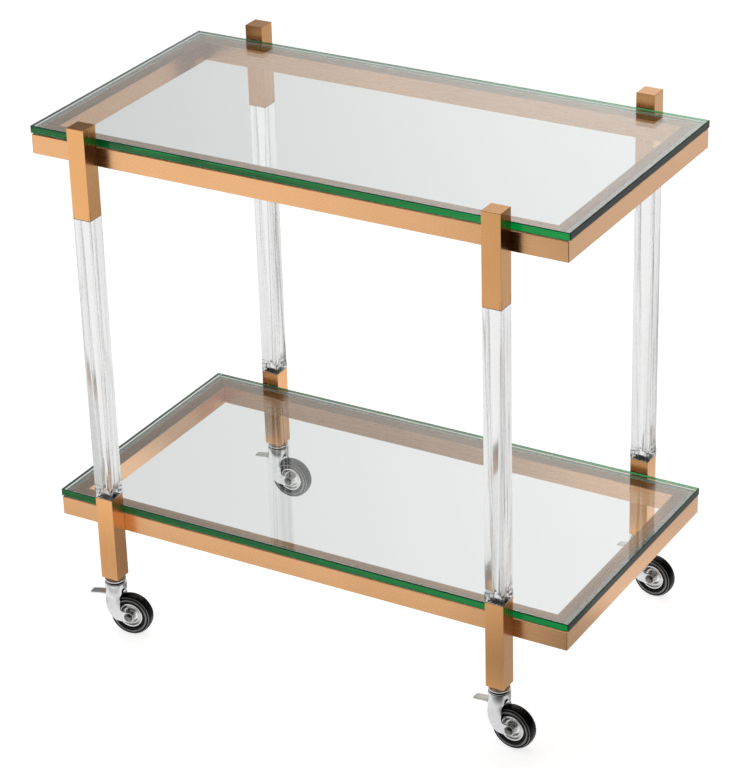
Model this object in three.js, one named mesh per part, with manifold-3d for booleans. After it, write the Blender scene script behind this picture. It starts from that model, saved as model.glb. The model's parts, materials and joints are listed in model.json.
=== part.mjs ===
// A bar cart: two framed glass shelves between four legs of brass and clear acrylic, on swivel casters.
// Millimetres. +X runs along the long side, +Y to the back, +Z up. The origin is on the floor, at the
// middle of the cart.
import * as THREE from 'three';
import { mergeVertices } from 'three/addons/utils/BufferGeometryUtils.js';
import Module from 'manifold-3d';

// ---- Driving dimensions ----
const GAP = 0.3; // between pieces that touch

const TUBE = 25.4; // square tube of the frames and posts
const TUBE_WALL = 1.5;

const GLASS_LENGTH = 750;
const GLASS_DEPTH = 387;
const GLASS_THICKNESS = 10;
const GLASS_BEVEL = 1;
const GLASS_OVERHANG = 1.5; // past the frame at the two short ends

const STRIP_WIDTH = 6; // clear strip that the glass lies on
const STRIP_INSET = 3;
const STRIP_SPACE = 1.5; // from the frame's top to the underside of the glass

const LEG_X = 287.3; // leg centre to the middle of the cart
const CASTER_HEIGHT = 84; // floor to the underside of a lower post
const POST_HEIGHT = 121;
const LEG_TOP = 722;
const FRAME_RISE = 65; // underside of a post to the underside of the frame that it holds

const SPIGOT_LENGTH = 12; // square end of a column, inside a post
const PLUG = 12; // solid lower end of a lower post, which holds the stem of the caster
const POST_CAP = 3;
const COLUMN_BEVEL = 0.8;

const WHEEL_RADIUS = 29;
const TYRE_WIDTH = 18;
const TYRE_INNER_RADIUS = 18.3;
const TRAIL = 21; // swivel axis to the axle
const AXLE_RADIUS = 3;
const BOLT_HEAD_RADIUS = 5;
const BOLT_HEAD_HEIGHT = 3;
const FORK_INSIDE = 11; // middle of the fork to the inner face of a side plate
const FORK_PLATE = 2.2;
const STEM_RADIUS = 5;
const STEM_LENGTH = 28; // inside the post
const KINGPIN_RADIUS = 4.5;
const RIVET_RADIUS = 7.5; // head of the kingpin, under the fork
const RIVET_HEIGHT = 2;
const BRAKE_PIVOT = { x: -4.5, z: 55 };
const BRAKE_PIN_RADIUS = 2;

// Where each caster's wheel trails at rest, in degrees round from +X
const CORNERS = [
  { name: 'front_left', x: -1, y: -1, trails: 10 },
  { name: 'front_right', x: 1, y: -1, trails: -4 },
  { name: 'back_left', x: -1, y: 1, trails: 3 },
  { name: 'back_right', x: 1, y: 1, trails: -6 },
];

// ---- Worked out from those ----
const FRAME_HALF_LENGTH = GLASS_LENGTH / 2 - GLASS_OVERHANG;
const FRAME_HALF_DEPTH = GLASS_DEPTH / 2;
const LEG_Y = FRAME_HALF_DEPTH + GAP + TUBE / 2;
const LOWER_POST_TOP = CASTER_HEIGHT + POST_HEIGHT;
const UPPER_POST_BOTTOM = LEG_TOP - POST_HEIGHT;
const SHELVES = [
  { name: 'lower', z: CASTER_HEIGHT + FRAME_RISE },
  { name: 'upper', z: UPPER_POST_BOTTOM + FRAME_RISE },
];

// ---- Materials ----
const material = (color, roughness, metalness, more = {}) =>
  new THREE.MeshStandardMaterial({ color, roughness, metalness, ...more });
const BRUSHED_BRASS = material(0xc79a6b, 0.35, 1);
const CLEAR_GLASS = material(0xbfd8c8, 0.03, 0, { transparent: true, opacity: 0.35 });
const CLEAR_ACRYLIC = material(0xf2f4f4, 0.05, 0, { transparent: true, opacity: 0.3 });
const CLEAR_STRIP = material(0xb9beb2, 0.4, 0, { transparent: true, opacity: 0.6 });
const BOLT_STEEL = material(0x9a9a98, 0.4, 1);
const CHROME = material(0xd8dadc, 0.15, 1);
const STAMPED_STEEL = material(0xc9c9c9, 0.25, 1);
const DARK_SEAL = material(0x1d1b1a, 0.6, 0);
const BLACK_RUBBER = material(0x141414, 0.55, 0);

// ---- Solids ----
const wasm = await Module();
wasm.setup();
const up = new THREE.Matrix4();
const alongY = new THREE.Matrix4().makeRotationX(Math.PI / 2);

function solid(geometry) {
  const bare = (geometry.index ? geometry.toNonIndexed() : geometry.clone());
  bare.deleteAttribute('normal');
  bare.deleteAttribute('uv');
  const merged = mergeVertices(bare, 1e-4);
  return new wasm.Manifold(new wasm.Mesh({
    numProp: 3,
    vertProperties: merged.attributes.position.array,
    triVerts: new Uint32Array(merged.index.array),
  }));
}

function geometryOf(manifold) {
  const mesh = manifold.getMesh();
  const geometry = new THREE.BufferGeometry();
  geometry.setAttribute('position', new THREE.BufferAttribute(mesh.vertProperties, 3));
  geometry.setIndex(new THREE.BufferAttribute(mesh.triVerts, 1));
  return geometry;
}

// A box between two corners
function block(low, high) {
  const size = high.map((value, i) => value - low[i]);
  return solid(new THREE.BoxGeometry(...size)
    .translate(...low.map((value, i) => value + size[i] / 2)));
}

// A square bar on the Z axis
const bar = (width, zLow, zHigh) =>
  block([-width / 2, -width / 2, zLow], [width / 2, width / 2, zHigh]);

// A round bar on the Z axis, or turned to lie along Y
function rod(radius, low, high, sides = 16, turn = up) {
  const geometry = new THREE.CylinderGeometry(radius, radius, high - low, sides)
    .rotateX(Math.PI / 2).translate(0, 0, (low + high) / 2);
  return solid(geometry.applyMatrix4(turn));
}

// A profile of [radius, height] points, turned round the Z axis
function turned(profile, sides) {
  const points = profile.map(([radius, height]) => new THREE.Vector2(radius, height));
  return solid(new THREE.LatheGeometry(points, sides).rotateX(Math.PI / 2));
}

// An outline in X and Z, given its width along Y from low to high
function sidePlate(shape, low, high, curveSegments) {
  return solid(new THREE.ExtrudeGeometry(shape, { depth: high - low, bevelEnabled: false, curveSegments })
    .rotateX(Math.PI / 2).translate(0, high, 0));
}

// An outline in X and Y, given its height
function floorPlate(shape, height) {
  return solid(new THREE.ExtrudeGeometry(shape, { depth: height, bevelEnabled: false }));
}

function rectangle(halfX, halfY, Path = THREE.Shape) {
  const path = new Path();
  path.moveTo(-halfX, -halfY);
  path.lineTo(halfX, -halfY);
  path.lineTo(halfX, halfY);
  path.lineTo(-halfX, halfY);
  path.closePath();
  return path;
}

const polygon = (points) => new THREE.Shape(points.map(([x, y]) => new THREE.Vector2(x, y)));

// ---- The group ----
const cart = new THREE.Group();

function piece(parent, name, shape, skin) {
  const mesh = new THREE.Mesh(shape.isBufferGeometry ? shape : geometryOf(shape), skin);
  mesh.name = name;
  parent.add(mesh);
  return mesh;
}

// ---- Shelves ----
// A mitred tube of a frame, lying along X with its outer face at -Y
function mitredRail(halfLength, halfOtherWay, relief) {
  const outer = halfLength - relief;
  const inner = outer - TUBE;
  const face = -halfOtherWay;
  const plan = polygon([[-outer, face], [outer, face], [inner, face + TUBE], [-inner, face + TUBE]]);
  const hollow = block(
    [-halfLength, face + TUBE_WALL, TUBE_WALL],
    [halfLength, face + TUBE - TUBE_WALL, TUBE - TUBE_WALL],
  );
  return floorPlate(plan, TUBE).subtract(hollow);
}

const MITRE_RELIEF = GAP * Math.SQRT2;
const longRail = mitredRail(FRAME_HALF_LENGTH, FRAME_HALF_DEPTH, MITRE_RELIEF);
const shortRail = mitredRail(FRAME_HALF_DEPTH, FRAME_HALF_LENGTH, 0);
const RAILS = [
  { name: 'front', shape: longRail, turn: 0 },
  { name: 'right', shape: shortRail, turn: Math.PI / 2 },
  { name: 'back', shape: longRail, turn: Math.PI },
  { name: 'left', shape: shortRail, turn: -Math.PI / 2 },
];

function glassPlate() {
  const outline = rectangle(GLASS_LENGTH / 2 - GLASS_BEVEL, GLASS_DEPTH / 2 - GLASS_BEVEL);
  return new THREE.ExtrudeGeometry(outline, {
    depth: GLASS_THICKNESS - 2 * GLASS_BEVEL,
    bevelThickness: GLASS_BEVEL,
    bevelSize: GLASS_BEVEL,
    bevelSegments: 1,
  }).translate(0, 0, GLASS_BEVEL);
}

function glazingStrip() {
  const ring = rectangle(FRAME_HALF_LENGTH - STRIP_INSET, FRAME_HALF_DEPTH - STRIP_INSET);
  const inset = STRIP_INSET + STRIP_WIDTH;
  ring.holes.push(rectangle(FRAME_HALF_LENGTH - inset, FRAME_HALF_DEPTH - inset, THREE.Path));
  return floorPlate(ring, STRIP_SPACE - 2 * GAP);
}

for (const shelf of SHELVES) {
  const tray = new THREE.Group();
  tray.position.z = shelf.z;
  cart.add(tray);
  for (const rail of RAILS) {
    piece(tray, `${shelf.name}_${rail.name}_rail`, rail.shape, BRUSHED_BRASS).rotation.z = rail.turn;
  }
  piece(tray, `${shelf.name}_glazing_strip`, glazingStrip(), CLEAR_STRIP).position.z = TUBE + GAP;
  piece(tray, `${shelf.name}_glass`, glassPlate(), CLEAR_GLASS).position.z = TUBE + STRIP_SPACE;
}

// ---- Legs ----
const BORE = TUBE - 2 * TUBE_WALL; // inside of a square tube
const SPIGOT = BORE - 2 * GAP;

// Closed at the top and open at the bottom for the spigot of the column
const upperPost = () => bar(TUBE, 0, POST_HEIGHT).subtract(bar(BORE, -1, POST_HEIGHT - POST_CAP));

// Open at the top for the spigot of the column, with a plug at the bottom for the stem of the caster
function lowerPost() {
  return bar(TUBE, 0, POST_HEIGHT)
    .subtract(bar(BORE, PLUG, POST_HEIGHT + 1))
    .subtract(rod(STEM_RADIUS + GAP, -1, PLUG + 1));
}

// A bar with small chamfers, and a spigot at each end
function acrylicColumn(height) {
  const half = TUBE / 2;
  const cut = half - COLUMN_BEVEL;
  const section = polygon([
    [cut, -half], [half, -cut], [half, cut], [cut, half],
    [-cut, half], [-half, cut], [-half, -cut], [-cut, -half],
  ]);
  return floorPlate(section, height)
    .add(bar(SPIGOT, -SPIGOT_LENGTH, 1))
    .add(bar(SPIGOT, height - 1, height + SPIGOT_LENGTH));
}

const COLUMN_LOW = LOWER_POST_TOP + GAP;
const COLUMN_HEIGHT = UPPER_POST_BOTTOM - GAP - COLUMN_LOW;
const LEG_PIECES = [
  { name: 'upper_post', shape: upperPost(), z: UPPER_POST_BOTTOM, skin: BRUSHED_BRASS },
  { name: 'lower_post', shape: lowerPost(), z: CASTER_HEIGHT, skin: BRUSHED_BRASS },
  { name: 'acrylic_column', shape: acrylicColumn(COLUMN_HEIGHT), z: COLUMN_LOW, skin: CLEAR_ACRYLIC },
];

// ---- Casters ----
// Each is made with its swivel axis on Z and its wheel trailing along +X.
const FORK_TOP = 76;
const FORK_WEB = 73.4; // underside of the fork's top
const FORK_HEAD_RADIUS = 14.5;
const FORK_HEAD_WALL = 2.3;
const FORK_SKIRT_BOTTOM = 60;
const FORK_TIP_RADIUS = 7;
const FORK_SIDES = 20;
const SEAL_HEIGHT = 1.7;
const CUP_RADIUS = 14;
const CUP_BOTTOM = FORK_TOP + SEAL_HEIGHT + 2 * GAP;
const CUP_RIM = 2; // straight part of its side
const CUP_HEIGHT = 2.6;
const SHOULDER_RADIUS = 10;

// Rivet head under the fork, kingpin, cup, shoulder against the post, and the stem inside the post
function casterStem() {
  const rivetTop = FORK_WEB - GAP;
  const rivetBottom = rivetTop - RIVET_HEIGHT;
  const cupRim = CUP_BOTTOM + CUP_RIM;
  const cupTop = CUP_BOTTOM + CUP_HEIGHT;
  const shoulderTop = CASTER_HEIGHT - GAP;
  const stemTop = CASTER_HEIGHT + STEM_LENGTH;
  return turned([
    [0, rivetBottom], [RIVET_RADIUS, rivetBottom], [RIVET_RADIUS, rivetTop],
    [KINGPIN_RADIUS, rivetTop], [KINGPIN_RADIUS, CUP_BOTTOM],
    [CUP_RADIUS, CUP_BOTTOM], [CUP_RADIUS, cupRim], [CUP_RADIUS - 1, cupTop],
    [SHOULDER_RADIUS, cupTop], [SHOULDER_RADIUS, shoulderTop],
    [STEM_RADIUS, shoulderTop], [STEM_RADIUS, stemTop], [0, stemTop],
  ], 14);
}

function swivelSeal() {
  const inner = KINGPIN_RADIUS + GAP;
  const outer = CUP_RADIUS - 1.2;
  const low = FORK_TOP + GAP;
  return turned([[inner, low], [outer, low], [outer, low + SEAL_HEIGHT], [inner, low + SEAL_HEIGHT],
    [inner, low]], 14);
}

// Seen from the side: down from the head and round to a rounded tip on the axle
function forkOutline() {
  const outline = new THREE.Shape();
  outline.moveTo(-13.2, 70);
  outline.bezierCurveTo(-11, 50, -10, 27, 3, 22.4);
  outline.quadraticCurveTo(11, 20.6, TRAIL, WHEEL_RADIUS - FORK_TIP_RADIUS);
  outline.absarc(TRAIL, WHEEL_RADIUS, FORK_TIP_RADIUS, -Math.PI / 2, Math.PI / 2, false);
  outline.quadraticCurveTo(9.6, 36.5, 9.6, 46);
  outline.bezierCurveTo(9.6, 54, 11, 62, 13.2, 70);
  return outline;
}

function fork() {
  const wall = FORK_HEAD_RADIUS - FORK_HEAD_WALL;
  const hole = KINGPIN_RADIUS + GAP;
  const head = turned([
    [hole, FORK_WEB], [wall, FORK_WEB], [wall, FORK_SKIRT_BOTTOM], [FORK_HEAD_RADIUS, FORK_SKIRT_BOTTOM],
    [FORK_HEAD_RADIUS, FORK_TOP - 1.5], [FORK_HEAD_RADIUS - 1.5, FORK_TOP], [hole, FORK_TOP],
    [hole, FORK_WEB],
  ], FORK_SIDES);
  // The skirt is cut away over the wheel, so that its rim climbs from the plates to the trailing side.
  const overWheel = polygon([[11.5, 50], [20, 50], [20, 72], [15, 71], [12, 64]]);
  const skirt = head.subtract(sidePlate(overWheel, -20, 20, 1));
  const outside = FORK_INSIDE + FORK_PLATE;
  const headRound = rod(FORK_HEAD_RADIUS, FORK_SKIRT_BOTTOM, FORK_TOP - 2, FORK_SIDES);
  const low = block([-40, -40, 0], [60, 40, FORK_SKIRT_BOTTOM]);
  let body = skirt;
  for (const side of [-1, 1]) {
    const [near, far] = [side * FORK_INSIDE, side * outside].sort((a, b) => a - b);
    const plate = sidePlate(forkOutline(), near, far, 6);
    body = body.add(plate.intersect(headRound.add(low)));
  }
  const axleHole = rod(AXLE_RADIUS + GAP, -30, 30, 16, alongY).translate([TRAIL, 0, WHEEL_RADIUS]);
  const pinHole = rod(BRAKE_PIN_RADIUS + GAP, -30, 30, 12, alongY)
    .translate([BRAKE_PIVOT.x, 0, BRAKE_PIVOT.z]);
  return body.subtract(axleHole).subtract(pinHole);
}

// Bolt head, shank and nut
function axleBolt() {
  const inner = FORK_INSIDE + FORK_PLATE + GAP;
  const outer = inner + BOLT_HEAD_HEIGHT;
  return rod(AXLE_RADIUS, -outer, outer, 12, alongY)
    .add(rod(BOLT_HEAD_RADIUS, inner, outer, 6, alongY))
    .add(rod(BOLT_HEAD_RADIUS, -outer, -inner, 6, alongY))
    .translate([TRAIL, 0, WHEEL_RADIUS]);
}

// A hub, a dished web and a rolled rim, the same on both sides
function wheelDisc() {
  const hub = FORK_INSIDE - GAP;
  const bore = AXLE_RADIUS + GAP;
  const rim = TYRE_INNER_RADIUS - GAP;
  return turned([
    [bore, -hub], [6, -hub], [7, -3.5], [12, -3], [14, -6.5], [rim, -7],
    [rim, 7], [14, 6.5], [12, 3], [7, 3.5], [6, hub], [bore, hub], [bore, -hub],
  ], 20).rotate([90, 0, 0]).translate([TRAIL, 0, WHEEL_RADIUS]);
}

// The tyre's tread has a flat facet at its lowest point, where the wheel stands.
function tyre() {
  const facets = 30;
  const crown = WHEEL_RADIUS / Math.cos(Math.PI / facets);
  const half = TYRE_WIDTH / 2;
  return turned([
    [TYRE_INNER_RADIUS, -half], [crown - 4, -half], [crown - 1.2, -half + 1.6], [crown, -half + 4.5],
    [crown, half - 4.5], [crown - 1.2, half - 1.6], [crown - 4, half], [TYRE_INNER_RADIUS, half],
    [TYRE_INNER_RADIUS, -half],
  ], facets).rotate([90, 0, 0]).rotate([0, 180 / facets, 0]).translate([TRAIL, 0, WHEEL_RADIUS]);
}

// A toe tab in front of the fork, a sleeve on the pivot pin, and a shoe that presses on the tyre
function brakeLever() {
  const { x, z } = BRAKE_PIVOT;
  const tab = polygon([
    [x, z + 2.4], [-17, z + 2.6], [-35.4, z - 1.6], [-36, z - 3.6], [-17, z + 0.4], [x, z - 0.4],
  ]);
  const shoe = polygon([
    [x - 3.2, z], [x - 3.8, z - 5], [x - 2.6, z - 8.6], [x - 0.2, z - 8.2], [x + 2.6, z - 4], [x + 3, z],
  ]);
  const pinEnd = FORK_INSIDE + FORK_PLATE + GAP;
  return sidePlate(tab, -6, 6, 1)
    .add(sidePlate(shoe, -8, 8, 1))
    .add(rod(3.4, -10, 10, 12, alongY).translate([x, 0, z]))
    .add(rod(BRAKE_PIN_RADIUS, -pinEnd, pinEnd, 12, alongY).translate([x, 0, z]));
}

const CASTER_PIECES = [
  { name: 'caster_stem', shape: casterStem(), skin: CHROME },
  { name: 'swivel_seal', shape: swivelSeal(), skin: DARK_SEAL },
  { name: 'caster_fork', shape: fork(), skin: CHROME },
  { name: 'axle_bolt', shape: axleBolt(), skin: BOLT_STEEL },
  { name: 'wheel_disc', shape: wheelDisc(), skin: STAMPED_STEEL },
  { name: 'tyre', shape: tyre(), skin: BLACK_RUBBER },
  { name: 'brake_lever', shape: brakeLever(), skin: CHROME },
];

for (const corner of CORNERS) {
  const leg = new THREE.Group();
  leg.position.set(corner.x * LEG_X, corner.y * LEG_Y, 0);
  cart.add(leg);
  for (const { name, shape, z, skin } of LEG_PIECES) {
    piece(leg, `${name}_${corner.name}`, shape, skin).position.z = z;
  }
  const caster = new THREE.Group();
  caster.rotation.z = THREE.MathUtils.degToRad(corner.trails);
  leg.add(caster);
  for (const { name, shape, skin } of CASTER_PIECES) {
    piece(caster, `${name}_${corner.name}`, shape, skin);
  }
}

export default cart;
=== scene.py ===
"""Bar cart: two framed glass shelves, four legs of brass and clear acrylic, swivel casters with brakes.

Metres. +X runs along the long side, +Y to the back, +Z up, with the floor at 0.
"""
import json
import math

import bmesh
import bpy
from mathutils import Matrix, Vector


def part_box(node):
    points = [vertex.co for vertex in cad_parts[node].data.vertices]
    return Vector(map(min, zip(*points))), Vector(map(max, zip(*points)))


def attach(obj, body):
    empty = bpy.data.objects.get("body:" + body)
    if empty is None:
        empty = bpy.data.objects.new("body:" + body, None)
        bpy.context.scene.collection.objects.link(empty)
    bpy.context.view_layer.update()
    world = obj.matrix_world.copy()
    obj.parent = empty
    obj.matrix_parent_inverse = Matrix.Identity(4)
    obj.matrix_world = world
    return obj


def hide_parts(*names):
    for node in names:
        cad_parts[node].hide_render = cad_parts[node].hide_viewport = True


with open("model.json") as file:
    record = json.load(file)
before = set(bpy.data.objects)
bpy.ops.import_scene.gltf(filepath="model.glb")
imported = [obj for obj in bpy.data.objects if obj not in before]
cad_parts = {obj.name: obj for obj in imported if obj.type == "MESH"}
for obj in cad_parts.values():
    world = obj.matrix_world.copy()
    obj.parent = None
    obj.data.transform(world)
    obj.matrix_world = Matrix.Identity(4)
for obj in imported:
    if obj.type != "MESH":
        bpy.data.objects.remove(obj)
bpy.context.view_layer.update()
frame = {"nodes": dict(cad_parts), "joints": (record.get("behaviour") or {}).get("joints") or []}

MM = 0.001
CORNERS = ("front_left", "front_right", "back_left", "back_right")
SHELVES = ("lower", "upper")


# ---- Materials ----
class Finish:
    """A material's node tree, with short ways to add and join its nodes."""

    def __init__(self, name):
        self.material = bpy.data.materials.new(name)
        self.material.use_nodes = True
        self.tree = self.material.node_tree
        self.shader = self.tree.nodes["Principled BSDF"]
        self.place = self.node("ShaderNodeTexCoord").outputs["Object"]

    def node(self, kind, **settings):
        made = self.tree.nodes.new(kind)
        for key, value in settings.items():
            setattr(made, key, value)
        return made

    def join(self, source, target):
        self.tree.links.new(source, target)

    def set(self, **values):
        for key, value in values.items():
            socket = self.shader.inputs[key.replace("_", " ")]
            socket.default_value = (*value, 1.0) if isinstance(value, tuple) and len(value) == 3 else value

    def stretched(self, scale):
        """Object coordinates, scaled differently along each axis."""
        mapping = self.node("ShaderNodeMapping")
        mapping.inputs["Scale"].default_value = scale
        self.join(self.place, mapping.inputs["Vector"])
        return mapping.outputs["Vector"]

    def noise(self, vector, scale, detail=3.0, rough=0.5):
        made = self.node("ShaderNodeTexNoise")
        made.inputs["Scale"].default_value = scale
        made.inputs["Detail"].default_value = detail
        made.inputs["Roughness"].default_value = rough
        self.join(vector, made.inputs["Vector"])
        return made.outputs["Fac"]

    def spread(self, value, low, high, start=0.3, end=0.7):
        """Takes start..end of a pattern to low..high."""
        made = self.node("ShaderNodeMapRange")
        for key, number in (("From Min", start), ("From Max", end), ("To Min", low), ("To Max", high)):
            made.inputs[key].default_value = number
        self.join(value, made.inputs["Value"])
        return made.outputs["Result"]

    def blend(self, factor, first, second):
        made = self.node("ShaderNodeMix", data_type="RGBA")
        made.inputs["A"].default_value = (*first, 1.0)
        made.inputs["B"].default_value = (*second, 1.0)
        self.join(factor, made.inputs["Factor"])
        return made.outputs["Result"]

    def bump(self, height, strength, distance):
        made = self.node("ShaderNodeBump")
        made.inputs["Strength"].default_value = strength
        made.inputs["Distance"].default_value = distance
        self.join(height, made.inputs["Height"])
        self.join(made.outputs["Normal"], self.shader.inputs["Normal"])

    def drive(self, value, socket):
        self.join(value, self.shader.inputs[socket])


BRASS_TONES = ((0.855, 0.455, 0.205), (0.900, 0.500, 0.240))
# A darker copy of the brass tones, for the posts: painted shade.
PAINTED_SHADE_BRASS_TONES = ((0.850, 0.425, 0.155), (0.900, 0.465, 0.185))


def brushed_brass(name, grain, tones=BRASS_TONES):
    """Lacquered brass, brushed along one axis: 0, 1 or 2."""
    brass = Finish(name)
    streak_scale = [900.0, 900.0, 900.0]
    streak_scale[grain] = 14.0
    streaks = brass.noise(brass.stretched(streak_scale), 1.0, 3.0, 0.6)
    hair_scale = [3600.0, 3600.0, 3600.0]
    hair_scale[grain] = 40.0
    hairs = brass.noise(brass.stretched(hair_scale), 1.0, 2.0, 0.6)
    clouds = brass.noise(brass.place, 9.0, 2.0)
    tone = brass.blend(brass.spread(streaks, 0.0, 1.0), *tones)
    tint = brass.blend(brass.spread(clouds, 0.0, 1.0), (0.95, 0.94, 0.92), (1.0, 1.0, 1.0))
    clouded = brass.node("ShaderNodeMix", data_type="RGBA", blend_type="MULTIPLY")
    clouded.inputs["Factor"].default_value = 1.0
    brass.join(tone, clouded.inputs["A"])
    brass.join(tint, clouded.inputs["B"])
    brass.drive(clouded.outputs["Result"], "Base Color")
    brass.drive(brass.spread(streaks, 0.25, 0.32), "Roughness")
    brass.bump(hairs, 0.06, 0.0001)
    direction = [0.02, 0.03, 0.025]
    direction[grain] = 1.0
    tangent = brass.node("ShaderNodeCombineXYZ")
    for socket, value in zip(tangent.inputs, direction):
        socket.default_value = value
    brass.join(tangent.outputs["Vector"], brass.shader.inputs["Tangent"])
    brass.set(Metallic=1.0, Anisotropic=0.55, Anisotropic_Rotation=0.25)
    brass.set(Coat_Weight=0.6, Coat_Roughness=0.22, Coat_IOR=1.45)
    return brass.material


def shelf_glass():
    """Clear float glass, almost colourless through its thickness."""
    glass = Finish("shelf_glass")
    glass.set(Base_Color=(0.955, 0.985, 0.970), Roughness=0.0, IOR=1.52, Transmission_Weight=1.0)
    smears = glass.noise(glass.stretched((3.0, 5.0, 3.0)), 1.0, 3.0)
    glass.bump(smears, 0.02, 0.0005)
    return glass.material


def glass_edge(name, deep, bright, clear=0.5, painted_glow=0.0):
    """The ground edge of a plate, green in random bands. A painted glow, stronger to the right, stands in
    for light carried inside the glass.
    """
    edge = Finish(name)
    bands = edge.noise(edge.stretched((2.0, 2.0, 420.0)), 1.0, 3.0, 0.6)
    edge.drive(edge.blend(edge.spread(bands, 0.0, 1.0), deep, bright), "Base Color")
    ground = edge.noise(edge.stretched((60.0, 60.0, 900.0)), 1.0, 3.0)
    edge.drive(edge.spread(ground, 0.03, 0.10), "Roughness")
    edge.bump(ground, 0.04, 0.0001)
    edge.set(IOR=1.52, Transmission_Weight=clear, Specular_IOR_Level=0.1, Emission_Color=(0.0, 1.0, 0.20))
    # Painted glow: the emission rises from nothing at the left end to its full strength at the right.
    split = edge.node("ShaderNodeSeparateXYZ")
    edge.join(edge.place, split.inputs["Vector"])
    edge.drive(edge.spread(split.outputs["X"], 0.0, painted_glow, -0.05, 0.37), "Emission Strength")
    return edge.material


def clear_acrylic():
    """Cast acrylic, polished by hand, so what shows through it is soft."""
    acrylic = Finish("clear_acrylic")
    acrylic.set(Base_Color=(1.0, 1.0, 1.0), IOR=1.49, Transmission_Weight=1.0)
    ripple = acrylic.noise(acrylic.stretched((60.0, 60.0, 6.0)), 1.0, 2.0)
    acrylic.drive(acrylic.spread(ripple, 0.07, 0.10), "Roughness")
    acrylic.bump(ripple, 0.006, 0.0002)
    return acrylic.material


def clear_strip():
    """The soft strip that the glass lies on."""
    vinyl = Finish("clear_strip")
    vinyl.set(Base_Color=(0.90, 0.91, 0.88), IOR=1.45, Transmission_Weight=0.70)
    skin = vinyl.noise(vinyl.stretched((200.0, 200.0, 200.0)), 1.0, 2.0)
    vinyl.drive(vinyl.spread(skin, 0.25, 0.4), "Roughness")
    vinyl.bump(skin, 0.1, 0.0002)
    return vinyl.material


def steel(name, dark, light, rough, bump=0.05):
    """Plated or bare steel with faint clouding and fine tool marks."""
    made = Finish(name)
    clouds = made.noise(made.place, 220.0, 4.0)
    marks = made.noise(made.stretched((150.0, 150.0, 150.0)), 6.0, 3.0)
    made.drive(made.blend(made.spread(clouds, 0.0, 1.0), dark, light), "Base Color")
    made.drive(made.spread(marks, *rough), "Roughness")
    made.bump(marks, bump, 0.0001)
    made.set(Metallic=1.0)
    return made.material


def rubber(name, dark, light, rough, scale=900.0, shine=0.35):
    """Rubber, or another dull filler, with a fine grain and a little dust."""
    made = Finish(name)
    dust = made.noise(made.place, 60.0, 5.0, 0.6)
    grain = made.noise(made.place, scale, 3.0)
    made.drive(made.blend(made.spread(dust, 0.0, 1.0, 0.4, 0.75), dark, light), "Base Color")
    made.drive(made.spread(dust, *rough), "Roughness")
    made.bump(grain, 0.10, 0.0001)
    made.set(Specular_IOR_Level=shine)
    return made.material


BRASS_LENGTHWISE = brushed_brass("brushed_brass_lengthwise", 0)
BRASS_CROSSWISE = brushed_brass("brushed_brass_crosswise", 1)
# The posts take the darker tones: painted shade.
BRASS_UPRIGHT = brushed_brass("brushed_brass_upright", 2, PAINTED_SHADE_BRASS_TONES)
SHELF_GLASS = shelf_glass()
# The long edges: bright green with a painted glow.
LONG_EDGE_PAINTED_GLOW = glass_edge("glass_long_edge_painted_glow", (0.001, 0.20, 0.030), (0.010, 0.75, 0.15), painted_glow=0.17)
# Darker copies of the edge for the short edges and the arris: painted shade.
SHORT_EDGE_PAINTED_SHADE = glass_edge("glass_short_edge_painted_shade", (0.065, 0.095, 0.085), (0.15, 0.19, 0.175), clear=0.0)
ARRIS_PAINTED_SHADE = glass_edge("glass_arris_painted_shade", (0.006, 0.09, 0.035), (0.04, 0.26, 0.13))
CLEAR_ACRYLIC = clear_acrylic()
CLEAR_STRIP = clear_strip()
# Near-black for the acrylic's spigots: painted shade for the dark inside of the posts.
SPIGOT_PAINTED_SHADE = rubber("spigot_painted_shade", (0.010, 0.008, 0.006), (0.035, 0.028, 0.020), (0.5, 0.7), scale=300.0)
# Darker than bare steel: the bolt's own dull steel, darkened further as painted shade for the hub's recess.
BOLT_STEEL = steel("bolt_steel", (0.13, 0.125, 0.12), (0.26, 0.25, 0.24), (0.22, 0.36))
CASTER_CHROME = steel("caster_chrome", (0.66, 0.665, 0.675), (0.75, 0.75, 0.755), (0.12, 0.22), bump=0.02)
LEVER_ZINC = steel("lever_zinc", (0.74, 0.73, 0.70), (0.84, 0.83, 0.80), (0.42, 0.55))
WHEEL_STEEL = steel("wheel_steel", (0.70, 0.695, 0.685), (0.84, 0.84, 0.83), (0.12, 0.24))
# Near-black ring between the cup and the fork head: painted shade for the dark gap there.
SEAL_PAINTED_SHADE = rubber("dark_seal", (0.012, 0.011, 0.010), (0.03, 0.028, 0.026), (0.45, 0.6))
TYRE_RUBBER = rubber("tyre_rubber", (0.002, 0.002, 0.002), (0.006, 0.006, 0.006), (0.22, 0.34), shine=0.12)
# Pale, glossy rubber for the rings on the tyre's side walls: a painted highlight.
TYRE_RING_PAINTED_HIGHLIGHT = rubber("tyre_ring_painted_highlight", (0.16, 0.16, 0.16), (0.34, 0.34, 0.33), (0.16, 0.26), shine=0.7)


def dress(obj, *materials):
    obj.data.materials.clear()
    for material in materials:
        obj.data.materials.append(material)


# ---- Brass frames and posts: the CAD shapes, with their sharp edges eased ----
RAIL_EDGE = 0.35 * MM
POST_EDGE = 0.6 * MM


def ease_edges(obj, width):
    weld = obj.modifiers.new("weld", "WELD")
    weld.merge_threshold = 0.00002
    bevel = obj.modifiers.new("eased_edges", "BEVEL")
    bevel.width = width
    bevel.segments = 2
    bevel.limit_method = "ANGLE"
    bevel.angle_limit = math.radians(40)
    bevel.harden_normals = True


for shelf in SHELVES:
    for side, finish in (("front", BRASS_LENGTHWISE), ("back", BRASS_LENGTHWISE),
                         ("left", BRASS_CROSSWISE), ("right", BRASS_CROSSWISE)):
        rail = frame["nodes"][f"{shelf}_{side}_rail"]
        dress(rail, finish)
        ease_edges(rail, RAIL_EDGE)
    dress(frame["nodes"][f"{shelf}_glazing_strip"], CLEAR_STRIP)

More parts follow.
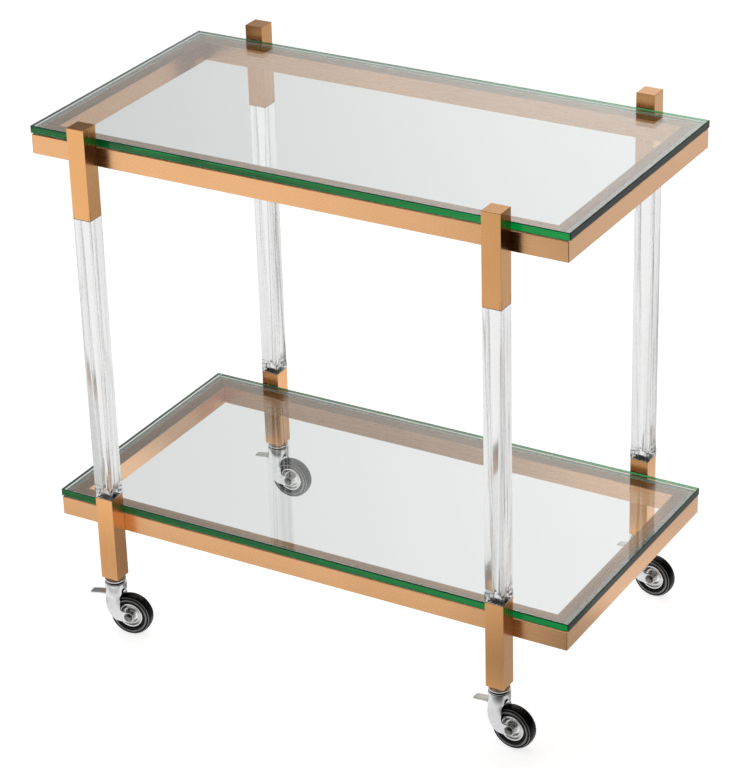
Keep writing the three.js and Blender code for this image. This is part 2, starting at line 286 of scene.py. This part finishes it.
for corner in CORNERS:
    for part in ("upper_post", "lower_post"):
        post = frame["nodes"][f"{part}_{corner}"]
        dress(post, BRASS_UPRIGHT)
        ease_edges(post, POST_EDGE)


# ---- Modelling ----
def clear_selection():
    if bpy.context.object is not None and bpy.context.object.mode != "OBJECT":
        bpy.ops.object.mode_set(mode="OBJECT")
    bpy.ops.object.select_all(action="DESELECT")


def name_piece(name):
    obj = bpy.context.object
    obj.name = name
    obj.data.name = name
    return obj


def edit():
    bpy.ops.object.mode_set(mode="EDIT")


def finish_edit():
    bpy.ops.object.mode_set(mode="OBJECT")


def fix_place():
    bpy.ops.object.transform_apply(location=True, rotation=True, scale=True)


def block(name, low, high):
    """A box between two corners, the start of a piece. It is left selected."""
    clear_selection()
    bpy.ops.mesh.primitive_cube_add(size=1.0, location=(Vector(low) + Vector(high)) / 2)
    bpy.context.object.scale = Vector(high) - Vector(low)
    fix_place()
    return name_piece(name)


def pick_faces(obj, wanted):
    """Selects the faces whose middle and normal pass a test. The object is in edit mode."""
    mesh = bmesh.from_edit_mesh(obj.data)
    bpy.ops.mesh.select_all(action="DESELECT")
    for face in mesh.faces:
        if wanted(face.calc_center_median(), face.normal):
            face.select_set(True)
    mesh.select_flush_mode()
    bmesh.update_edit_mesh(obj.data)


def pick_edges(obj, wanted):
    """Selects the edges whose two ends pass a test. The object is in edit mode."""
    mesh = bmesh.from_edit_mesh(obj.data)
    bpy.ops.mesh.select_all(action="DESELECT")
    for edge in mesh.edges:
        if wanted(edge.verts[0].co, edge.verts[1].co):
            edge.select_set(True)
    bmesh.update_edit_mesh(obj.data)


def smooth_by_angle(degrees=35):
    bpy.ops.object.shade_smooth_by_angle(angle=math.radians(degrees))


# ---- Glass ----
GLASS_ARRIS = 1.0 * MM


def glass_plate(shelf):
    """A plate with a narrow polished arris all round."""
    node = f"{shelf}_glass"
    plate = block(f"{shelf}_glass_plate", *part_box(node))
    edit()
    bpy.ops.mesh.select_all(action="SELECT")
    bpy.ops.mesh.bevel(offset=GLASS_ARRIS, segments=2, profile=0.5, affect="EDGES")
    finish_edit()
    dress(plate, SHELF_GLASS, LONG_EDGE_PAINTED_GLOW, SHORT_EDGE_PAINTED_SHADE, ARRIS_PAINTED_SHADE)
    # Top and bottom are clear glass. The long edges glow with painted light. The short edges and the arris
    # take the darker painted-shade copies.
    for face in plate.data.polygons:
        normal = face.normal
        if abs(normal.z) > 0.99:
            face.material_index = 0
        elif abs(normal.y) > 0.99:
            face.material_index = 1
        elif abs(normal.x) > 0.99:
            face.material_index = 2
        else:
            face.material_index = 3
    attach(plate, "cart")
    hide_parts(node)


for shelf in SHELVES:
    glass_plate(shelf)


# ---- Acrylic columns ----
COLUMN_CORNER = 0.8 * MM
SPIGOT_INSET = 1.8 * MM
SPIGOT_LENGTH = 12.0 * MM


def acrylic_column(corner):
    """A square bar with polished corners. Each end steps in to a spigot, glued into its post; the spigot is
    near-black, painted shade for the dark inside of the post.
    """
    node = f"acrylic_column_{corner}"
    low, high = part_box(node)
    step = Vector((0, 0, SPIGOT_LENGTH))
    column = block(f"clear_column_{corner}", low + step, high - step)
    edit()
    pick_edges(column, lambda a, b: abs((a - b).normalized().z) > 0.9)
    bpy.ops.mesh.bevel(offset=COLUMN_CORNER, segments=3, profile=0.5, affect="EDGES")
    for way in (-1, 1):
        pick_faces(column, lambda place, normal: normal.z * way > 0.9)
        bpy.ops.mesh.inset(thickness=SPIGOT_INSET)
        bpy.ops.mesh.extrude_region_move(TRANSFORM_OT_translate={"value": (0, 0, way * SPIGOT_LENGTH)})
    finish_edit()
    dress(column, CLEAR_ACRYLIC, SPIGOT_PAINTED_SHADE)
    margin = 0.1 * MM
    bottom, top = low.z + SPIGOT_LENGTH - margin, high.z - SPIGOT_LENGTH + margin
    # The spigot faces take the near-black painted shade.
    for face in column.data.polygons:
        face.material_index = int(not bottom <= face.center.z <= top)
    smooth_by_angle(25)
    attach(column, "cart")
    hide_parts(node)


for corner in CORNERS:
    acrylic_column(corner)


# ---- Casters ----
# Each part is modelled once round its own leg's axis, with its wheel to +X, and copied to the four legs
AXLE = Vector((21.0, 0.0, 29.0)) * MM
FORK_RADIUS = 14.5 * MM
FORK_FACE = 13.2 * MM
PLATE = 2.2 * MM
BRAKE_PIVOT = Vector((-4.5, 0.0, 55.0)) * MM


def shift(x=0.0, y=0.0, z=0.0):
    bpy.ops.transform.translate(value=Vector((x, y, z)) * MM)


def extrude(x=0.0, y=0.0, z=0.0):
    bpy.ops.mesh.extrude_region_move(TRANSFORM_OT_translate={"value": Vector((x, y, z)) * MM})


def resize(x, y, z, middle):
    bpy.ops.transform.resize(value=(x, y, z), center_override=middle)


def turn_about_y(angle, middle):
    """Turns the selection so that +X goes towards -Z for a positive angle."""
    bpy.ops.transform.rotate(value=-angle, orient_axis="Y", center_override=middle)


def bevel_edges(obj, width, segments=2, angle=40):
    bevel = obj.modifiers.new("bevel", "BEVEL")
    bevel.width = width * MM
    bevel.segments = segments
    bevel.limit_method = "ANGLE"
    bevel.angle_limit = math.radians(angle)
    bpy.ops.object.modifier_apply(modifier=bevel.name)


def turned(name, outline, axis="Z", middle=Vector((0, 0, 0)), steps=72):
    """Draws an outline of (radius, height) in millimetres and spins it round an axis."""
    clear_selection()
    bpy.ops.mesh.primitive_plane_add(size=1 * MM, location=(0, 0, 0))
    edit()
    bpy.ops.mesh.merge(type="CENTER")
    along_axis = Vector((0, 0, 1)) if axis == "Z" else Vector((0, 1, 0))
    spots = [radius * Vector((1, 0, 0)) + height * along_axis for radius, height in outline]
    shift(*(middle / MM + spots[0]))
    for before, after in zip(spots, spots[1:]):
        extrude(*(after - before))
    bpy.ops.mesh.select_all(action="SELECT")
    bpy.ops.mesh.spin(steps=steps, angle=math.tau, center=middle, axis=along_axis)
    bpy.ops.mesh.select_all(action="SELECT")
    bpy.ops.mesh.remove_doubles(threshold=0.005 * MM)
    bpy.ops.mesh.normals_make_consistent(inside=False)
    finish_edit()
    return name_piece(name)


def mirrored_outline(half):
    """A closed outline from its upper half, given from the inside out."""
    lower = [(radius, -height) for radius, height in half]
    return half + lower[::-1] + [half[0]]


def join_into(main, *others):
    clear_selection()
    for obj in (main, *others):
        obj.select_set(True)
    bpy.context.view_layer.objects.active = main
    bpy.ops.object.join()
    return main


def tyre():
    """Moulded rubber: a rounded tread, and a raised ring and a thin line on each side wall, painted pale and
    glossy as a painted highlight.
    """
    tread = turned("tyre", mirrored_outline([
        (18.4, 6.6), (18.8, 7.4), (19.6, 7.7), (20.6, 7.6), (21.4, 7.7), (21.8, 8.2), (22.3, 8.8),
        (23.0, 9.0), (23.7, 8.8), (24.1, 8.2), (24.6, 7.9), (25.6, 8.0), (26.5, 7.9), (27.4, 7.3),
        (28.2, 6.2), (28.7, 4.6), (28.95, 2.4), (29.0, 0.8),
    ]), "Y", AXLE, 96)
    dress(tread, TYRE_RUBBER, TYRE_RING_PAINTED_HIGHLIGHT)
    # The side-wall ring and line take the pale rubber: a painted highlight.
    highlight_rings = ((21.6, 24.0), (26.6, 27.2))
    for face in tread.data.polygons:
        out = (face.center - AXLE).xz.length / MM
        face.material_index = int(any(inner < out < outer for inner, outer in highlight_rings))
    return tread


def wheel_disc():
    """Stamped steel: a hub, a deep ring round it, a raised ring, and a rolled rim against the tyre."""
    return turned("wheel_disc", mirrored_outline([
        (3.3, 9.6), (3.8, 10.6), (5.4, 10.6), (6.0, 10.0), (6.2, 4.4), (6.7, 2.9), (7.8, 2.2),
        (9.0, 2.2), (9.9, 2.8), (10.6, 4.4), (11.3, 5.0), (12.2, 4.8), (12.7, 3.6), (13.5, 3.4),
        (14.1, 4.4), (14.7, 6.1), (15.6, 6.9), (16.8, 7.0), (17.6, 6.4), (18.0, 5.2),
    ]), "Y", AXLE, 72)


def caster_stem():
    """Rivet head, kingpin, cup, shoulder and the stem that goes up into the post."""
    return turned("caster_stem", [
        (0.0, 71.1), (6.6, 71.1), (7.4, 71.7), (7.4, 73.0), (4.5, 73.1), (4.5, 78.3), (13.2, 78.3),
        (13.8, 78.6), (14.0, 79.2), (14.0, 80.2), (13.7, 80.7), (13.1, 80.9), (12.3, 80.7), (11.2, 80.7),
        (10.4, 80.9),
        (10.0, 81.4), (10.0, 83.3), (9.6, 83.7), (5.0, 83.7), (5.0, 110.8), (3.8, 112.0), (0.0, 112.0),
    ])


# The seal is near-black: painted shade for the dark gap between the cup and the fork head.
def swivel_seal():
    return turned("swivel_seal", [
        (4.8, 76.4), (12.2, 76.4), (12.7, 76.7), (12.8, 77.0), (12.5, 77.2),
        (12.8, 77.4), (12.7, 77.8), (12.2, 78.0), (4.8, 78.0), (4.8, 76.4),
    ])


# Sections down a side plate: left end (x, z), right end (x, z), and how round the section still is
FORK_SECTIONS = (
    ((-13.14, 61.0), (13.14, 61.0), 1.0), ((-11.6, 57.8), (11.9, 58.3), 0.60),
    ((-10.8, 53.8), (10.7, 54.0), 0.26), ((-10.4, 49.0), (9.9, 49.2), 0.08),
    ((-9.9, 44.0), (9.6, 44.6), 0.02), ((-9.0, 39.0), (9.6, 41.0), 0.01),
    ((-7.4, 34.2), (10.2, 38.2), 0.01), ((-4.6, 29.2), (11.9, 36.7), 0.01),
    ((-1.2, 25.2), (14.6, 36.05), 0.01), ((3.6, 22.4), (17.8, 36.0), 0.01),
    ((10.6, 21.6), (20.4, 36.0), 0.01), ((17.0, 21.7), (21.8, 36.0), 0.01),
    ((21.6, 22.05), (23.0, 35.7), 0.01), ((24.6, 23.0), (24.9, 34.8), 0.01),
    ((26.6, 24.8), (26.7, 33.1), 0.01), ((27.6, 26.7), (27.6, 31.3), 0.01),
    ((28.0, 28.3), (28.0, 29.7), 0.01),
)


def side_plate(side):
    """Draws the selected part of the head's rim down, flattens it, and sweeps it round to the axle."""
    for before, after in zip(FORK_SECTIONS, FORK_SECTIONS[1:]):
        (left_0, right_0, round_0), (left_1, right_1, round_1) = before, after
        middle_0 = ((left_0[0] + right_0[0]) / 2, (left_0[1] + right_0[1]) / 2)
        middle_1 = ((left_1[0] + right_1[0]) / 2, (left_1[1] + right_1[1]) / 2)
        extrude(middle_1[0] - middle_0[0], 0, middle_1[1] - middle_0[1])
        middle = (middle_1[0] * MM, side * FORK_FACE, middle_1[1] * MM)
        slope_0 = math.atan2(right_0[1] - left_0[1], right_0[0] - left_0[0])
        slope_1 = math.atan2(right_1[1] - left_1[1], right_1[0] - left_1[0])
        turn_about_y(slope_0 - slope_1, middle)
        growth = math.dist(left_1, right_1) / math.dist(left_0, right_0)
        resize(growth, round_1 / round_0, growth, middle)


def caster_fork():
    """A pressed fork: a round head that flows down into two side plates, all of one thickness."""
    clear_selection()
    bpy.ops.mesh.primitive_cylinder_add(vertices=72, radius=FORK_RADIUS, depth=13.3 * MM,
                                        end_fill_type="NOTHING", location=(0, 0, 67.65 * MM))
    fork = name_piece("caster_fork")
    fix_place()
    edit()
    pick_edges(fork, lambda a, b: min(a.z, b.z) > 74 * MM)
    axis_at = Vector((0, 0, 75 * MM))
    for rise, shrink in ((0.75, 0.982), (0.55, 0.955), (0.30, 0.93)):
        extrude(0, 0, rise)
        resize(shrink, shrink, 1, axis_at)
    for shrink, rise in ((0.55, 0.0), (0.90, -0.25), (0.7445, 0.0)):
        extrude(0, 0, rise)
        resize(shrink, shrink, 1, axis_at)
    for side in (1, -1):
        pick_edges(fork, lambda a, b: max(a.z, b.z) < 61.2 * MM and min(a.y * side, b.y * side) > 6 * MM)
        side_plate(side)
    bpy.ops.mesh.select_all(action="SELECT")
    bpy.ops.mesh.normals_make_consistent(inside=False)
    pick_faces(fork, lambda place, normal: place.x > 9 * MM and place.z > 57 * MM and normal.z < 0.5)
    bpy.ops.mesh.bisect(plane_co=Vector((12.4, 0, 62.8)) * MM, plane_no=(0.886, 0, -0.465), clear_outer=True)
    finish_edit()
    wall = fork.modifiers.new("wall", "SOLIDIFY")
    wall.thickness = PLATE
    wall.offset = -1
    bpy.ops.object.modifier_apply(modifier=wall.name)
    bevel_edges(fork, 0.4, 2, 55)
    smooth_by_angle(35)
    return fork


def hex_bolt(side):
    """A washer, and a hexagon with its outer corners taken off."""
    clear_selection()
    bpy.ops.mesh.primitive_cylinder_add(vertices=6, radius=5 * MM, depth=2.4 * MM,
                                        location=AXLE + Vector((0, side * 15.3 * MM, 0)),
                                        rotation=(math.radians(90), 0, 0))
    head = name_piece("bolt_head")
    fix_place()
    edit()
    pick_faces(head, lambda place, normal: normal.y * side > 0.9)
    bpy.ops.mesh.inset(thickness=0.7 * MM)
    pick_edges(head, lambda a, b: min(a.y * side, b.y * side) > 16.4 * MM
               and (a - AXLE).xz.length > 4.9 * MM and (b - AXLE).xz.length > 4.9 * MM)
    shift(0, -side * 0.6, 0)
    finish_edit()
    bevel_edges(head, 0.2, 2, 20)
    washer = turned("washer", [
        (3.1, side * 13.3), (5.9, side * 13.3), (6.1, side * 13.5), (6.1, side * 13.9),
        (5.9, side * 14.1), (3.1, side * 14.1), (3.1, side * 13.3),
    ], "Y", AXLE, 32)
    return join_into(head, washer)


def axle_bolt():
    shank = turned("axle_bolt", [
        (0.0, -16.0), (2.6, -16.0), (3.0, -15.6), (3.0, 15.6), (2.6, 16.0), (0.0, 16.0),
    ], "Y", AXLE, 32)
    return join_into(shank, hex_bolt(1), hex_bolt(-1))


def from_pivot(x, y, z):
    return BRAKE_PIVOT + Vector((x, y, z)) * MM


def brake_lever():
    """A toe tab bent down at its end, a sleeve between the side plates, and a shoe over the tyre."""
    tab = block("brake_lever", from_pivot(-6.0, -6.0, -0.2), from_pivot(0.0, 6.0, 2.4))
    edit()
    pick_faces(tab, lambda place, normal: normal.x < -0.9)
    for x, z, thin, wide in ((-6.0, 0.30, 0.9, 1.0), (-6.0, -0.25, 0.9, 1.0), (-6.0, -0.70, 1.0, 1.0),
                             (-5.0, -0.75, 1.0, 1.0), (-1.8, -0.25, 1.0, 0.92), (-1.0, -0.15, 1.0, 0.72)):
        extrude(x, 0, z)
        mesh = bmesh.from_edit_mesh(tab.data)
        ends = [vert.co for vert in mesh.verts if vert.select]
        resize(1, wide, thin, sum(ends, Vector()) / len(ends))
    finish_edit()
    bevel_edges(tab, 0.5, 3, 30)
    shoe = block("shoe", from_pivot(-3.4, -8.0, -4.0), from_pivot(2.8, 8.0, 0.0))
    edit()
    pick_faces(shoe, lambda place, normal: normal.z < -0.9)
    extrude(-1.3, 0, -4.0)
    resize(0.38, 1, 1, from_pivot(-1.6, 0, -8))
    finish_edit()
    bevel_edges(shoe, 0.5, 2, 30)
    sleeve = turned("sleeve", [
        (0.0, -10.6), (2.0, -10.6), (2.0, -10.0), (3.1, -10.0), (3.4, -9.7),
        (3.4, 9.7), (3.1, 10.0), (2.0, 10.0), (2.0, 10.6), (0.0, 10.6),
    ], "Y", BRAKE_PIVOT, 32)
    return join_into(tab, shoe, sleeve)


# Which body each part rides, and the material slot it takes
CASTER_PARTS = (
    (tyre, "wheel", TYRE_RUBBER, "tyre_rubber"), (wheel_disc, "wheel", WHEEL_STEEL, "wheel_steel"),
    (caster_stem, "cart", CASTER_CHROME, "caster_chrome"), (swivel_seal, "cart", SEAL_PAINTED_SHADE, "dark_seal"),
    (caster_fork, "fork", CASTER_CHROME, "caster_chrome"), (axle_bolt, "fork", BOLT_STEEL, "bolt_steel"),
    (brake_lever, "brake", LEVER_ZINC, "caster_chrome"),
)


def leg_axis(corner):
    low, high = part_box(f"caster_stem_{corner}")
    return Vector(((low.x + high.x) / 2, (low.y + high.y) / 2, 0))


def trailing_angle(corner):
    """Where the wheel trails at rest, from the direction of its axle."""
    axle = next(joint["axis"] for joint in frame["joints"] if joint["name"] == f"wheel_spin_{corner}")
    return math.atan2(-axle[0], axle[1])


def add_casters():
    for make, body, finish, slot in CASTER_PARTS:
        first = make()
        smooth_by_angle(35)
        if not first.data.materials:
            dress(first, finish)
        for corner in CORNERS:
            clear_selection()
            part = first.copy()
            part.data = first.data.copy()
            bpy.context.scene.collection.objects.link(part)
            part.name = part.data.name = f"{make.__name__}_part_{corner}"
            turn = Matrix.Rotation(trailing_angle(corner), 4, "Z")
            part.matrix_world = Matrix.Translation(leg_axis(corner)) @ turn
            part.select_set(True)
            bpy.context.view_layer.objects.active = part
            fix_place()
            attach(part, "cart" if body == "cart" else f"{body}_{corner}")
            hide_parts(f"{make.__name__}_{corner}")
        bpy.data.objects.remove(first)


add_casters()


# ---- Studio ----
VIEW_AZIMUTH = math.radians(30.69)
VIEW_ELEVATION = math.radians(26.75)
VIEW_ROLL = math.radians(-1.729)
VIEW_DISTANCE = 3.7077
VIEW_TARGET = Vector((-0.0089, 0, 0.3381))
LENS = 133.9
SENSOR = 36.0
CARD_SIZE = (4.4, 2.6)
RIGHTWARD = (1.0, 0.0, 0.0)
BACKWARD = (0.0, 1.0, 0.0)
FORWARD = (0.0, -1.0, 0.0)


def smooth_step(finish, value, start, end, low, high):
    made = finish.node("ShaderNodeMapRange", interpolation_type="SMOOTHSTEP")
    for key, number in (("From Min", start), ("From Max", end), ("To Min", low), ("To Max", high)):
        made.inputs[key].default_value = number
    finish.join(value, made.inputs["Value"])
    return made.outputs["Result"]


def along(finish, direction):
    """How far a point lies along a direction."""
    made = finish.node("ShaderNodeVectorMath", operation="DOT_PRODUCT")
    finish.join(finish.place, made.inputs[0])
    made.inputs[1].default_value = direction
    return made.outputs["Value"]


def math_node(finish, operation, first, second):
    """Multiplies or compares two values. The second may be a plain number."""
    made = finish.node("ShaderNodeMath", operation=operation)
    finish.join(first, made.inputs[0])
    if isinstance(second, float):
        made.inputs[1].default_value = second
    else:
        finish.join(second, made.inputs[1])
    return made.outputs["Value"]


def times(finish, first, second):
    return math_node(finish, "MULTIPLY", first, second)


def mixed(finish, factor, first, second):
    """Goes from the first level to the second as a factor goes from 0 to 1."""
    made = finish.node("ShaderNodeMix", data_type="FLOAT")
    finish.join(factor, made.inputs["Factor"])
    for value, socket in ((first, made.inputs["A"]), (second, made.inputs["B"])):
        if isinstance(value, float):
            socket.default_value = value
        else:
            finish.join(value, socket)
    return made.outputs["Result"]


def light_path(finish, ray):
    return finish.node("ShaderNodeLightPath").outputs[ray]


def strip(finish, start, full, fading, end):
    """1 between two places along Y, fading to 0 outside them."""
    depth = along(finish, BACKWARD)
    rise = smooth_step(finish, depth, start, full, 0.0, 1.0)
    return times(finish, rise, smooth_step(finish, depth, fading, end, 1.0, 0.0))


def open_floor(paper):
    """The painted brightness of the floor round the cart: it falls off to the right in front, and to the
    left far behind.
    """
    in_front = smooth_step(paper, along(paper, (0.85, -0.53, 0.0)), 0.15, 1.25, 1.04, 0.04)
    far_back = smooth_step(paper, along(paper, BACKWARD), 0.5, 0.9, 0.0, 1.0)
    back_level = smooth_step(paper, along(paper, RIGHTWARD), 0.4, 1.0, 0.3, 0.8)
    behind = mixed(paper, far_back, 1.0, back_level)
    right_half = smooth_step(paper, along(paper, RIGHTWARD), 0.0, 0.4, 0.0, 1.0)
    front_half = smooth_step(paper, along(paper, FORWARD), 0.28, 0.42, 0.0, 1.0)
    near_right = smooth_step(paper, times(paper, right_half, front_half), 0.0, 1.0, 1.0, 0.25)
    return times(paper, times(paper, in_front, near_right), behind)


def cart_shade(paper, strip_end, strip_gone):
    """The shade on the floor beneath the cart, deeper to the left, up to a place along Y."""
    beneath = strip(paper, -0.18, -0.11, strip_end, strip_gone)
    return mixed(paper, beneath, 1.0, smooth_step(paper, along(paper, RIGHTWARD), -0.1, 0.4, 0.28, 0.50))


def outer_shade(paper):
    """How the cart shades the floor that its outer faces mirror: in front, beneath, and on the right."""
    in_front = mixed(paper, strip(paper, -0.50, -0.42, -0.34, -0.27), 1.0, 0.64)
    past_right_end = smooth_step(paper, along(paper, RIGHTWARD), 0.40, 0.50, 0.0, 1.0)
    beside = mixed(paper, times(paper, strip(paper, 0.10, 0.45, 0.58, 0.75), past_right_end), 1.0, 0.62)
    return times(paper, times(paper, in_front, cart_shade(paper, 0.09, 0.16)), beside)


def shade_below_glass(paper):
    """The same for the metal below the glass: darker to the left, but not by the back left caster."""
    by_caster = strip(paper, 0.04, 0.10, 0.20, 0.26)
    left_half = smooth_step(paper, along(paper, RIGHTWARD), -0.1, 0.1, 0.48, 1.0)
    return times(paper, cart_shade(paper, 0.02, 0.07), mixed(paper, by_caster, left_half, 1.0))


def studio_floor():
    """White paper. What is mirrored in it, or shows through the glass and acrylic, has its own painted
    levels of light and shade.
    """
    clear_selection()
    bpy.ops.mesh.primitive_plane_add(size=24.0, location=(0, 0, 0))
    floor = bpy.context.object
    floor.name = "studio_floor"
    paper = Finish("white_paper")
    fibre = paper.noise(paper.place, 40.0, 3.0)
    paper.drive(paper.blend(fibre, (0.86, 0.86, 0.86), (0.88, 0.88, 0.88)), "Base Color")
    paper.set(Roughness=0.9, Specular_IOR_Level=0.1, Emission_Color=(1.0, 1.0, 1.0), Emission_Strength=0.80)
    through_two_faces = math_node(paper, "GREATER_THAN", light_path(paper, "Ray Depth"), 2.5)
    shade = mixed(paper, through_two_faces, outer_shade(paper), shade_below_glass(paper))
    mirrored = times(paper, open_floor(paper), shade)
    through_glass = smooth_step(paper, along(paper, BACKWARD), 0.5, 0.9, 0.74, 0.65)
    seen_through = mixed(paper, light_path(paper, "Is Singular Ray"), 0.87, through_glass)
    level = mixed(paper, light_path(paper, "Is Transmission Ray"), mirrored, seen_through)
    lit = paper.node("ShaderNodeEmission")
    paper.join(level, lit.inputs["Strength"])
    mix = paper.node("ShaderNodeMixShader")
    paper.join(light_path(paper, "Is Camera Ray"), mix.inputs["Fac"])
    paper.join(lit.outputs["Emission"], mix.inputs[1])
    paper.join(paper.shader.outputs["BSDF"], mix.inputs[2])
    paper.join(mix.outputs["Shader"], paper.tree.nodes["Material Output"].inputs["Surface"])
    dress(floor, paper.material)


def back_card():
    """A big pale card up behind the cart, brighter to the right. The glass and the leg tops mirror it."""
    clear_selection()
    bpy.ops.mesh.primitive_plane_add(size=1.0)
    card = bpy.context.object
    card.name = "back_card"
    card.scale = (*CARD_SIZE, 1.0)
    card.rotation_euler = (math.radians(90) + VIEW_ELEVATION, 0, VIEW_AZIMUTH)
    card.location = (-1.46, 2.46, 1.98)
    card.visible_camera = False
    card.visible_diffuse = False
    card.visible_shadow = False
    cloth = Finish("pale_card")
    across = along(cloth, (CARD_SIZE[0], 0.0, 0.0))
    on_metal = smooth_step(cloth, across, -0.95, 1.0, 0.04, 1.0)
    on_glass = smooth_step(cloth, across, -1.1, 0.9, 0.52, 1.58)
    under_glass = smooth_step(cloth, across, -0.95, 1.0, 0.10, 0.14)
    first_surface = mixed(cloth, light_path(cloth, "Is Singular Ray"), on_metal, on_glass)
    straight_back = math_node(cloth, "LESS_THAN", light_path(cloth, "Ray Depth"), 3.5)
    second_surface = mixed(cloth, straight_back, under_glass, on_glass)
    level = mixed(cloth, light_path(cloth, "Is Transmission Ray"), first_surface, second_surface)
    lit = cloth.node("ShaderNodeEmission")
    cloth.join(level, lit.inputs["Strength"])
    cloth.join(lit.outputs["Emission"], cloth.tree.nodes["Material Output"].inputs["Surface"])
    dress(card, cloth.material)


def overhead_softbox():
    lamp = bpy.data.lights.new("overhead_softbox", "AREA")
    lamp.shape = "RECTANGLE"
    lamp.size, lamp.size_y = 2.6, 2.6
    lamp.energy = 8.0
    holder = bpy.data.objects.new("overhead_softbox", lamp)
    place = Vector((-0.6, 0.4, 3.2))
    holder.location = place
    holder.rotation_euler = (Vector((0, 0, 0.3)) - place).to_track_quat("-Z", "Y").to_euler()
    bpy.context.scene.collection.objects.link(holder)


def mix_levels(tree, factor, first, second):
    """A mix of two levels in the surround. The second is a plain number."""
    made = tree.nodes.new("ShaderNodeMix")
    tree.links.new(factor, made.inputs["Factor"])
    tree.links.new(first, made.inputs["A"])
    made.inputs["B"].default_value = second
    return made.outputs["Result"]


def surround_slopes(tree):
    """Pale behind and overhead, and darker in front and to the right, where the room is."""
    split = tree.nodes.new("ShaderNodeSeparateXYZ")
    direction = tree.nodes.new("ShaderNodeTexCoord").outputs["Generated"]
    tree.links.new(direction, split.inputs["Vector"])
    level = None
    for axis, start, end, low, high in (("Z", 0.0, 1.0, 0.35, 0.70), ("Y", -0.5, 0.3, 0.25, 1.0),
                                        ("X", 0.0, 0.45, 1.0, 0.2)):
        slope = tree.nodes.new("ShaderNodeMapRange")
        for key, number in (("From Min", start), ("From Max", end), ("To Min", low), ("To Max", high)):
            slope.inputs[key].default_value = number
        tree.links.new(split.outputs[axis], slope.inputs["Value"])
        shade = tree.nodes.new("ShaderNodeMath")
        shade.operation = "MULTIPLY"
        shade.inputs[1].default_value = 1.0
        tree.links.new(slope.outputs["Result"], shade.inputs[0])
        if level is not None:
            tree.links.new(level, shade.inputs[1])
        level = shade.outputs["Value"]
    return level


def studio_air():
    """The surround, white where the camera sees it, and nearly white through the acrylic."""
    world = bpy.data.worlds.new("studio")
    world.use_nodes = True
    bpy.context.scene.world = world
    tree = world.node_tree
    rays = tree.nodes.new("ShaderNodeLightPath").outputs
    through_acrylic = tree.nodes.new("ShaderNodeMath")
    through_acrylic.operation = "SUBTRACT"
    through_acrylic.use_clamp = True
    tree.links.new(rays["Is Transmission Ray"], through_acrylic.inputs[0])
    tree.links.new(rays["Is Singular Ray"], through_acrylic.inputs[1])
    level = mix_levels(tree, through_acrylic.outputs["Value"], surround_slopes(tree), 0.9)
    level = mix_levels(tree, rays["Is Camera Ray"], level, 1.0)
    background = tree.nodes["Background"]
    tree.links.new(level, background.inputs["Strength"])
    background.inputs["Color"].default_value = (1, 1, 1, 1)


def set_camera():
    right = Vector((math.cos(VIEW_AZIMUTH), math.sin(VIEW_AZIMUTH), 0))
    level_out = math.cos(VIEW_ELEVATION)
    back = Vector((math.sin(VIEW_AZIMUTH) * level_out, -math.cos(VIEW_AZIMUTH) * level_out,
                   math.sin(VIEW_ELEVATION)))
    up = back.cross(right)
    across = math.cos(VIEW_ROLL) * right + math.sin(VIEW_ROLL) * up
    upright = -math.sin(VIEW_ROLL) * right + math.cos(VIEW_ROLL) * up
    data = bpy.data.cameras.new("camera")
    data.sensor_width = SENSOR
    data.lens = LENS
    data.clip_start, data.clip_end = 0.1, 100.0
    holder = bpy.data.objects.new("camera", data)
    place = VIEW_TARGET + back * VIEW_DISTANCE
    holder.matrix_world = Matrix.Translation(place) @ Matrix((across, upright, back)).transposed().to_4x4()
    bpy.context.scene.collection.objects.link(holder)
    bpy.context.scene.camera = holder


studio_floor()
back_card()
studio_air()
overhead_softbox()
set_camera()
bpy.context.scene.view_settings.view_transform = "Standard"
bpy.context.scene.cycles.max_bounces = 32
bpy.context.scene.cycles.transmission_bounces = 32
bpy.context.scene.cycles.glossy_bounces = 12
bpy.context.scene.cycles.diffuse_bounces = 3
